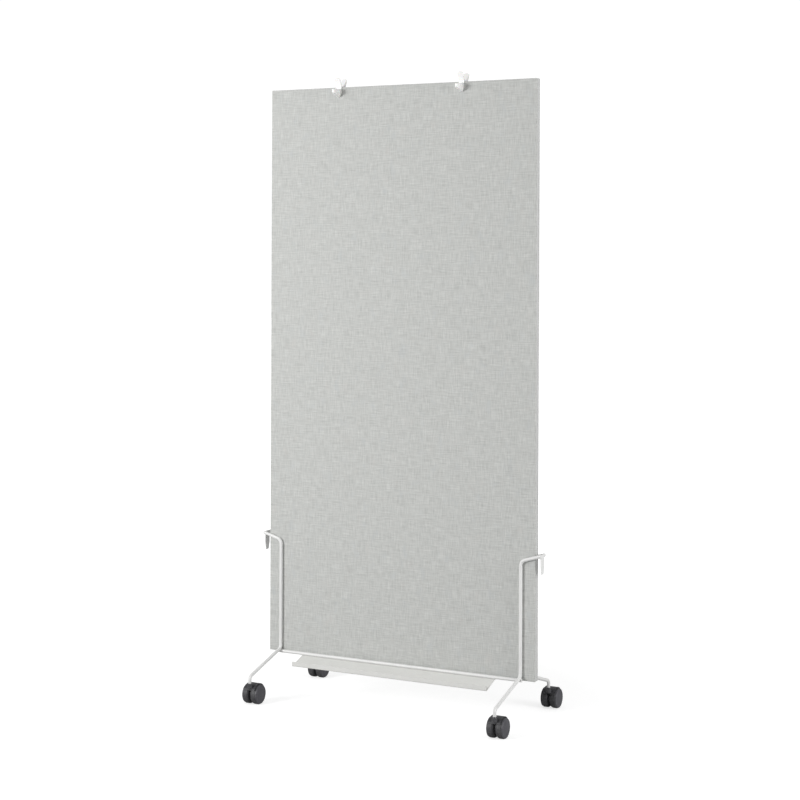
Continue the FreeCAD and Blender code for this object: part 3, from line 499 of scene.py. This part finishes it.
panel_low = corners("front_fabric")[0]
mid_y = (panel_low.y + corners("rear_fabric")[1].y) / 2
for face, way in (("front", -1), ("rear", 1)):
    cross_low, cross_high = corners(f"{face}_cross_wire")
    cross_centre = (cross_low + cross_high) / 2
    wire_radius = (cross_high.z - cross_low.z) / 2
    for side, sign in (("left", -1), ("right", 1)):
        contact = Vector((sign * (cross_high.x - wire_radius), cross_centre.y - way * TOWARD_PANEL,
                          cross_centre.z + wire_radius * 0.95 - BEAD_DROP))
        for flank, flank_name in ((-1, "in"), (1, "out")):
            bead = contact + Vector((0, flank * BEAD_ASIDE, 0))
            weld_bead(f"{face}_{side}_cross_weld_{flank_name}", bead, Vector((1, 0, 0)))

# ---- Side tabs -------------------------------------------------------------------------------
# A small flat steel tab closes each pair of top arms and hangs down beside the panel's edge.
# Cut from 3 mm plate with its edges eased, welded to the ends of the arms and coated with them.


def softened(node, name, width, segments=3):
    """A copy of a solid with its flat faces made whole and its edges eased to a small radius."""
    mesh = nodes_by_name[node].data.copy()
    mesh.name = name
    form = bmesh.new()
    form.from_mesh(mesh)
    bmesh.ops.remove_doubles(form, verts=form.verts[:], dist=1e-6)
    bmesh.ops.dissolve_limit(form, angle_limit=math.radians(0.5), verts=form.verts[:], edges=form.edges[:])
    form.to_mesh(mesh)
    form.free()
    piece = linked(name, mesh)
    mesh.shade_flat()
    for layer in list(mesh.attributes):
        if layer.name in ("custom_normal", "sharp_edge", "sharp_face"):
            mesh.attributes.remove(layer)
    shaded(piece, 40)
    easing = piece.modifiers.new("eased edges", "BEVEL")
    easing.width = width
    easing.segments = segments
    easing.limit_method = "ANGLE"
    easing.angle_limit = math.radians(25)
    easing.harden_normals = False
    return piece


TAB_WELD_LENGTH = 8 * MM
TAB_WELD_RADIUS = 1.5 * MM
BEAD_FROM_TOP = 9.2 * MM     # middle of the bead below the tab's top edge
BEAD_SET_IN = 1.9 * MM       # toward the panel, from the middle of the plate
BEAD_PROUD = 0.2 * MM        # toward the panel's middle plane, from the plate's edge


# The tabs carry the arms' own coat. Its colour here is painted a little lighter, as painted light for the
# light that falls on the tabs.
tab_paint_painted_lighter = powder_finish("powder coat on plate painted lighter as lit", (0.84, 0.84, 0.83, 1), (0.78, 0.78, 0.775, 1), 0.42,
                          (0.70, 0.70, 0.70, 1))
for side, sign in (("left", -1), ("right", 1)):
    node = f"{side}_side_tab"
    finished(softened(node, f"{side}_tab", 0.5 * MM), tab_paint_painted_lighter, "base_paint", "stand", node)
    low, high = corners(node)
    for face, way, edge_y in (("front", -1, low.y), ("rear", 1, high.y)):
        seat = Vector(((low.x + high.x) / 2 - sign * BEAD_SET_IN, edge_y - way * BEAD_PROUD,
                       high.z - BEAD_FROM_TOP))
        weld_bead(f"{face}_{side}_tab_weld", seat, Vector((0, 0.25, 1)), TAB_WELD_LENGTH, TAB_WELD_RADIUS)

# ---- Tray ------------------------------------------------------------------------------------
# One folded steel sheet, 1.5 mm thick, runs under both cross wires and carries the panel. In
# front it slopes down to an upturned lip and holds pens or leaflets. Powder coated after folding.

tray_paint = powder_finish("pale grey powder coat on sheet", (0.74, 0.74, 0.715, 1), (0.69, 0.69, 0.665, 1),
                           0.40, (0.70, 0.70, 0.70, 1))
finished(softened("tray", "folded_tray", 0.35 * MM, 2), tray_paint, "tray_paint", "stand", "tray")

# ---- Rest pads and panel screws --------------------------------------------------------------
# Three rubber washers on the tray carry the panel's lower edge. Through each goes a zinc-plated
# machine screw with a pan head and a hexagon socket, driven up from below into the bottom tube.


def turned_form(outline, centre, axis, sides=64, inner_shape=None):
    """A form turned about an axis. The outline is a closed loop of (along, radius)."""
    form = bmesh.new()
    loops = []
    for along, radius in outline:
        loop = []
        for step in range(sides):
            turn = 2 * math.pi * step / sides
            reach = inner_shape(radius, turn) if inner_shape else radius
            first, second = reach * math.cos(turn), reach * math.sin(turn)
            if axis == "X":
                offset = Vector((along, first, second))
            else:
                offset = Vector((first, second, along))
            loop.append(form.verts.new(centre + offset))
        loops.append(loop)
    for index, loop in enumerate(loops):
        following = loops[(index + 1) % len(loops)]
        for step in range(sides):
            follow = (step + 1) % sides
            form.faces.new((loop[step], loop[follow], following[follow], following[step]))
    bmesh.ops.remove_doubles(form, verts=form.verts[:], dist=1e-7)
    bmesh.ops.dissolve_degenerate(form, edges=form.edges[:], dist=1e-7)
    bmesh.ops.recalc_face_normals(form, faces=form.faces[:])
    return form


pad_rubber, tree, shader = new_finish("black rubber", Roughness=0.75)
toned = use_effect(tree, shade_drift, Colour=(0.030, 0.030, 0.030, 1), Deep_Colour=(0.018, 0.018, 0.018, 1),
                   Patch_Size=0.008, Amount=0.8, Roughness=0.75, Roughness_Drift=0.2)
rubber_grain = stretched_noise(tree, local_place(tree), (1800.0, 1800.0, 1800.0), 3.0)
drive(tree, shader, toned["Colour"], toned["Roughness"], rubber_grain, 0.3, 0.00008)

bright_steel, tree, shader = new_finish("zinc plated steel", Metallic=1.0, Roughness=0.3)
toned = use_effect(tree, shade_drift, Colour=(0.62, 0.62, 0.64, 1), Deep_Colour=(0.48, 0.49, 0.50, 1),
                   Patch_Size=0.006, Amount=0.8, Roughness=0.3, Roughness_Drift=0.2)
turning_lines = stretched_noise(tree, local_place(tree), (500.0, 500.0, 5200.0), 2.0)
worn = use_effect(tree, edge_wear, Colour=toned["Colour"], Worn_Colour=(0.75, 0.74, 0.72, 1), Amount=0.5)
drive(tree, shader, worn["Colour"], toned["Roughness"], turning_lines, 0.2, 0.00005)

pad_low, pad_high = corners("rest_pads")
screw_low, screw_high = corners("panel_screws")
pad_radius = (pad_high.y - pad_low.y) / 2
screw_spacing = pad_high.x - pad_radius
SHEET = 1.5 * MM             # thickness of the tray
BORE = 2.25 * MM             # radius of the pads' holes
EASED = 0.6 * MM             # radius of the pads' corners
SOCKET_DEPTH = 1.9 * MM
SOCKET_RADIUS = 1.45 * MM    # from the middle to a flat
HEAD_RADIUS = 4 * MM
SHANK_RADIUS = 2 * MM
# The pan head's profile: shares of its height down from the tray, and of its radius.
HEAD_PROFILE = ((0.45, 0.985), (0.78, 0.86), (0.95, 0.64), (1.0, 0.48))


def join_forms(forms, name, angle=35.0):
    """Several bmesh forms as one piece."""
    whole = bmesh.new()
    for form in forms:
        part_mesh = bpy.data.meshes.new("part")
        form.to_mesh(part_mesh)
        form.free()
        whole.from_mesh(part_mesh)
        bpy.data.meshes.remove(part_mesh)
    return piece_from(whole, name, angle)


def rounded_washer(low_z, high_z, bore, radius, eased):
    """A washer's outline with eased corners, from its bore outward and back."""
    outline = []
    for along, reach, start in ((high_z - eased, bore + eased, 180), (high_z - eased, radius - eased, 90),
                                (low_z + eased, radius - eased, 0), (low_z + eased, bore + eased, 270)):
        for step in range(5):
            turn = math.radians(start - 22.5 * step)
            outline.append((along + eased * math.sin(turn), reach + eased * math.cos(turn)))
    return outline


def hexagon(radius, turn):
    """Pull the socket's rings out to a hexagon, and leave the round rings round."""
    if radius > SOCKET_RADIUS + 1e-6 or radius < 1e-6:
        return radius
    sector = (turn % (math.pi / 3)) - math.pi / 6
    return radius / math.cos(sector)


head_top = corners("tray")[1].z - SHEET
head_height = head_top - screw_low.z
washer = rounded_washer(pad_low.z, pad_high.z, BORE, pad_radius, EASED)
screw = [(screw_high.z, 0.0), (screw_high.z, SHANK_RADIUS * 0.72), (screw_high.z - 0.7 * MM, SHANK_RADIUS),
         (head_top, SHANK_RADIUS), (head_top, HEAD_RADIUS * 0.97), (head_top - 0.25 * MM, HEAD_RADIUS)]
screw += [(head_top - head_height * down, HEAD_RADIUS * out) for down, out in HEAD_PROFILE]
screw += [(screw_low.z, SOCKET_RADIUS * 1.2), (screw_low.z + 0.1 * MM, SOCKET_RADIUS),
          (screw_low.z + SOCKET_DEPTH, SOCKET_RADIUS), (screw_low.z + SOCKET_DEPTH + 0.4 * MM, 0.0)]
spots = [Vector((count * screw_spacing, mid_y, 0)) for count in (-1, 0, 1)]
pad_forms = [turned_form(washer, spot, "Z") for spot in spots]
screw_forms = [turned_form(screw, spot, "Z", 48, hexagon) for spot in spots]
finished(join_forms(pad_forms, "rubber_rest_pads"), pad_rubber, "pad_rubber", "stand", "rest_pads")
finished(join_forms(screw_forms, "socket_screws", 28), bright_steel, "fastener_steel", "stand",
         "panel_screws")

# ---- Top hooks -------------------------------------------------------------------------------
# Two white moulded hooks sit astride the panel's top edge and slide along it. Each has a pointed
# plate and a horn on both faces and two rounded prongs above, all in one piece of acetal.

hook_plastic, tree, shader = new_finish("white acetal", Roughness=0.38, Subsurface_Weight=0.05,
                                        Subsurface_Scale=0.004)
toned = use_effect(tree, shade_drift, Colour=(0.93, 0.93, 0.92, 1), Deep_Colour=(0.89, 0.89, 0.88, 1),
                   Patch_Size=0.015, Amount=0.6, Roughness=0.38, Roughness_Drift=0.15)
mould_grain = stretched_noise(tree, local_place(tree), (1500.0, 1500.0, 1500.0), 2.0)
flow_lines = stretched_noise(tree, local_place(tree), (60.0, 60.0, 420.0), 3.0)
worn = use_effect(tree, edge_wear, Colour=toned["Colour"], Worn_Colour=(0.80, 0.79, 0.77, 1), Amount=0.3)
drive(tree, shader, worn["Colour"], toned["Roughness"], work_out(tree, "ADD", mould_grain, flow_lines),
      0.15, 0.0001)
for side in ("left", "right"):
    node = f"{side}_top_hook"
    finished(softened(node, f"{side}_slide_hook", 0.9 * MM, 4), hook_plastic, "hook_plastic",
             f"{side}_hook", node)

# ---- Casters ---------------------------------------------------------------------------------
# Four twin-wheel swivel casters with housings and wheels of one charcoal-coloured nylon, and darker tyres.
# The housings' colour is painted darker than the wheels', as painted shade between and above the wheels. Each
# turns on a steel pin pressed into the foot of its wire. The axle is hidden behind the wheels' slightly domed
# outer discs, which have a fine step near the rim.

finish_nodes(bright_steel, *[place + "_pivot_pin" for place in places])


def moulded_finish(name, colour, deep_colour, roughness, grain_size, dust):
    """Moulded dark plastic or rubber with grain, faint scuffs and floor dust."""
    material, tree, shader = new_finish(name, Roughness=roughness)
    toned = use_effect(tree, shade_drift, Colour=colour, Deep_Colour=deep_colour, Patch_Size=0.012,
                       Amount=0.7, Roughness=roughness, Roughness_Drift=0.15)
    worn = use_effect(tree, edge_wear, Colour=toned["Colour"], Worn_Colour=(0.16, 0.16, 0.165, 1),
                      Amount=0.45, Grain=420.0)
    dusty = use_effect(tree, floor_dust, Colour=worn["Colour"], Reach=0.06, Amount=dust)
    grain = stretched_noise(tree, local_place(tree), (grain_size, grain_size, grain_size), 2.0)
    rough = work_out(tree, "MULTIPLY_ADD", dusty["Mask"], 0.25, toned["Roughness"])
    drive(tree, shader, dusty["Colour"], rough, grain, 0.3, 0.00008)
    return material


# The housing's nylon is painted about half as light as the wheels': painted shade for the shade between and
# above the wheels.
housing_nylon_painted_shade = moulded_finish("charcoal nylon painted darker as shade", (0.034, 0.034, 0.039, 1), (0.024, 0.024, 0.028, 1), 0.42,
                               1500.0, 0.12)
wheel_nylon = moulded_finish("charcoal wheel disc", (0.070, 0.069, 0.080, 1), (0.050, 0.049, 0.058, 1), 0.36,
                             1300.0, 0.10)
tyre_rubber = moulded_finish("dark tyre", (0.040, 0.040, 0.045, 1), (0.020, 0.020, 0.024, 1), 0.55,
                             900.0, 0.15)


def rounded_corner(along, radius, size, start, end, steps=8):
    """Points of a quarter turn in a turned outline, from one angle to another in degrees."""
    return [(along + size * math.cos(math.radians(turn)), radius + size * math.sin(math.radians(turn)))
            for turn in [start + (end - start) * step / steps for step in range(steps + 1)]]


HUB_RADIUS = 8 * MM
AXLE_BORE = 3.05 * MM
TYRE_DEPTH = 9 * MM          # from the tread down to the rim that carries the tyre
RIM_THICKNESS = 2.5 * MM
RIM_SET_IN = 0.5 * MM        # of the rim's inner end from the hub's end
DISC_THICKNESS = 7 * MM      # at the hub
FLANGE_THICKNESS = 3 * MM    # of the disc's rim, beside the tyre
DISC_ROUND = 1.2 * MM
EASE = 0.4 * MM              # broken corners
HUB_EASE = 0.6 * MM
TYRE_PLAY = 0.02 * MM        # keeps the rim's skin just inside the tyre's
# The step near the disc's rim: millimetres below its face, and in from its edge.
DISC_STEP = ((0.35, 2.4), (0.95, 2.7), (0.95, 3.2), (0.5, 3.6))
# Its dome: millimetres below its middle, and the share of its radius.
DISC_DOME = ((0.4, 0.75), (0.25, 0.5), (0.1, 0.28), (0.02, 0.12), (0.0, 0.0))
INNER_SHOULDER = 8 * MM
OUTER_SHOULDER = 2 * MM
GROOVE_PLACES = (0.52, 0.68)     # shares of the tyre's width
# A tread groove: millimetres aside from its middle, and below the tread.
GROOVE = ((-0.5, 0.0), (-0.3, 0.35), (0.3, 0.35), (0.5, 0.0))


def wheel_outline(width, radius, seat):
    """A wheel's outline, from the axle's end round the hub, web, rim and flange to the disc's middle."""
    flange, web, rim = width - FLANGE_THICKNESS, width - DISC_THICKNESS, seat - RIM_THICKNESS
    outline = [(flange, 0.0), (flange, AXLE_BORE), (0.0, AXLE_BORE), (0.0, HUB_RADIUS - HUB_EASE),
               (HUB_EASE, HUB_RADIUS), (web, HUB_RADIUS), (web, rim), (RIM_SET_IN + EASE, rim),
               (RIM_SET_IN, rim + EASE), (RIM_SET_IN, seat - TYRE_PLAY), (flange, seat - TYRE_PLAY),
               (flange, radius - EASE), (flange + EASE, radius)]
    outline += rounded_corner(width - DISC_ROUND, radius - DISC_ROUND, DISC_ROUND, 90, 0, 6)
    outline += [(width - below * MM, radius - aside * MM) for below, aside in DISC_STEP]
    return outline + [(width - below * MM, radius * share) for below, share in DISC_DOME]


def tyre_outline(inner_end, outer_end, radius, seat):
    """A tyre's outline: a wide inner shoulder, two tread grooves and a tight outer shoulder."""
    outline = [(inner_end, seat)]
    outline += rounded_corner(inner_end + INNER_SHOULDER, radius - INNER_SHOULDER, INNER_SHOULDER,
                              180, 96, 14)
    for share in GROOVE_PLACES:
        middle = inner_end + (outer_end - inner_end) * share
        outline += [(middle + aside * MM, radius - below * MM) for aside, below in GROOVE]
    outline += rounded_corner(outer_end - OUTER_SHOULDER, radius - OUTER_SHOULDER, OUTER_SHOULDER,
                              90, 0, 8)
    return outline + [(outer_end, seat)]


for place in places:
    caster = place + "_caster"
    finish_nodes(bright_steel, caster + "_axle")
    finished(softened(caster + "_housing", caster + "_shell", 0.45 * MM, 2), housing_nylon_painted_shade, "caster_nylon",
             caster, caster + "_housing")
    for flank, lean in (("left", -1), ("right", 1)):
        wheel, tyre = f"{caster}_{flank}_wheel", f"{caster}_{flank}_tyre"
        low, high = corners(wheel)
        tyre_low, tyre_high = corners(tyre)
        middle = (low + high) / 2
        tyre_radius = (tyre_high.z - tyre_low.z) / 2
        seat = tyre_radius - TYRE_DEPTH
        inner_x = low.x if lean > 0 else high.x
        tyre_ends = sorted((abs(tyre_low.x - inner_x), abs(tyre_high.x - inner_x)))
        wheel_points = wheel_outline(high.x - low.x, (high.z - low.z) / 2, seat)
        tyre_points = tyre_outline(*tyre_ends, tyre_radius, seat)
        for node, ending, points, material, slot in (
                (wheel, "_disc", wheel_points, wheel_nylon, "caster_nylon"),
                (tyre, "_band", tyre_points, tyre_rubber, "caster_tread")):
            turned = turned_form([(lean * along, radius) for along, radius in points],
                                 Vector((inner_x, middle.y, middle.z)), "X", 96)
            finished(piece_from(turned, node + ending, 32), material, slot, f"{caster}_{flank}_rolling", node)

# ---- Studio ----------------------------------------------------------------------------------
# A plain pale floor under a white surround, glowing enough to the eye to fade into it. A soft light
# stands at the front left at the panel's full height, a taller and weaker one at the right lights the
# panel's edge, and the camera looks in from the front right.

scene = bpy.context.scene
scene.view_settings.view_transform = "Standard"
scene.view_settings.look = "None"

floor_form = bmesh.new()
bmesh.ops.create_grid(floor_form, x_segments=1, y_segments=1, size=30.0)
floor = piece_from(floor_form, "studio_floor")
floor_paint, tree, shader = new_finish("studio floor paint", Roughness=0.9, Specular_IOR_Level=0.1)
toned = use_effect(tree, shade_drift, Colour=(0.54, 0.54, 0.54, 1), Deep_Colour=(0.53, 0.53, 0.53, 1),
                   Patch_Size=1.5, Amount=0.5, Roughness=0.9)
drive(tree, shader, toned["Colour"], toned["Roughness"])
from_object = put(tree, "ShaderNodeVectorMath", {0: local_place(tree)}, operation="LENGTH").outputs["Value"]
glow_strength = spread(tree, from_object, 0.6, 1.9, 0.68, 1.0)
glow = put(tree, "ShaderNodeEmission", {"Color": (1, 1, 1, 1), "Strength": glow_strength})
lit = put(tree, "ShaderNodeAddShader", {0: shader.outputs[0], 1: glow.outputs[0]})
to_eye = put(tree, "ShaderNodeLightPath").outputs["Is Camera Ray"]
seen_floor = put(tree, "ShaderNodeMixShader", {0: to_eye, 1: shader.outputs[0], 2: lit.outputs[0]})
tree.links.new(seen_floor.outputs[0], tree.nodes["Material Output"].inputs["Surface"])
floor.data.materials.append(floor_paint)

surround = bpy.data.worlds.new("white surround")
surround.use_nodes = True
scene.world = surround
sky = surround.node_tree
sky.nodes.clear()
seen = put(sky, "ShaderNodeBackground", {"Color": (1, 1, 1, 1), "Strength": 1.05})
light = put(sky, "ShaderNodeBackground", {"Color": (1, 1, 1, 1), "Strength": 0.44})
to_eye = put(sky, "ShaderNodeLightPath").outputs["Is Camera Ray"]
chooser = put(sky, "ShaderNodeMixShader", {0: to_eye, 1: light.outputs[0], 2: seen.outputs[0]})
put(sky, "ShaderNodeOutputWorld", {"Surface": chooser.outputs[0]})


def soft_light(name, place, target, size, power):
    """A rectangular soft light aimed at a point."""
    data = bpy.data.lights.new(name, "AREA")
    data.shape = "RECTANGLE"
    data.size, data.size_y = size
    data.energy = power
    lamp = bpy.data.objects.new(name, data)
    scene.collection.objects.link(lamp)
    lamp.location = place
    lamp.rotation_euler = (Vector(target) - Vector(place)).to_track_quat("-Z", "Y").to_euler()


soft_light("high left light", (-2.3, -3.7, 1.9), (0.0, 0.0, 1.3), (1.5, 1.5), 136)
soft_light("right edge light", (3.6, -0.2, 1.25), (0.45, 0.0, 1.0), (1.4, 2.2), 66)

camera_data = bpy.data.cameras.new("camera")
camera_data.sensor_width = 36
camera_data.lens = 78.966
camera_data.shift_x = -0.0113
camera_data.shift_y = -0.1792
camera_data.clip_end = 200
camera = bpy.data.objects.new("camera", camera_data)
scene.collection.objects.link(camera)
YAW, PITCH, ROLL = math.radians(27.5286), math.radians(0.1138), math.radians(0.2221)
STANDPOINT = Vector((2.4866, panel_low.y - 4.7030, 1.3567))
forward = Vector((-math.sin(YAW) * math.cos(PITCH), math.cos(YAW) * math.cos(PITCH), math.sin(PITCH)))
level = Vector((math.cos(YAW), math.sin(YAW), 0))
upward = level.cross(forward)
camera_right = level * math.cos(ROLL) + upward * math.sin(ROLL)
camera_up = upward * math.cos(ROLL) - level * math.sin(ROLL)
camera.matrix_world = Matrix((
    (camera_right.x, camera_up.x, -forward.x, STANDPOINT.x),
    (camera_right.y, camera_up.y, -forward.y, STANDPOINT.y),
    (camera_right.z, camera_up.z, -forward.z, STANDPOINT.z),
    (0, 0, 0, 1),
))
scene.camera = camera
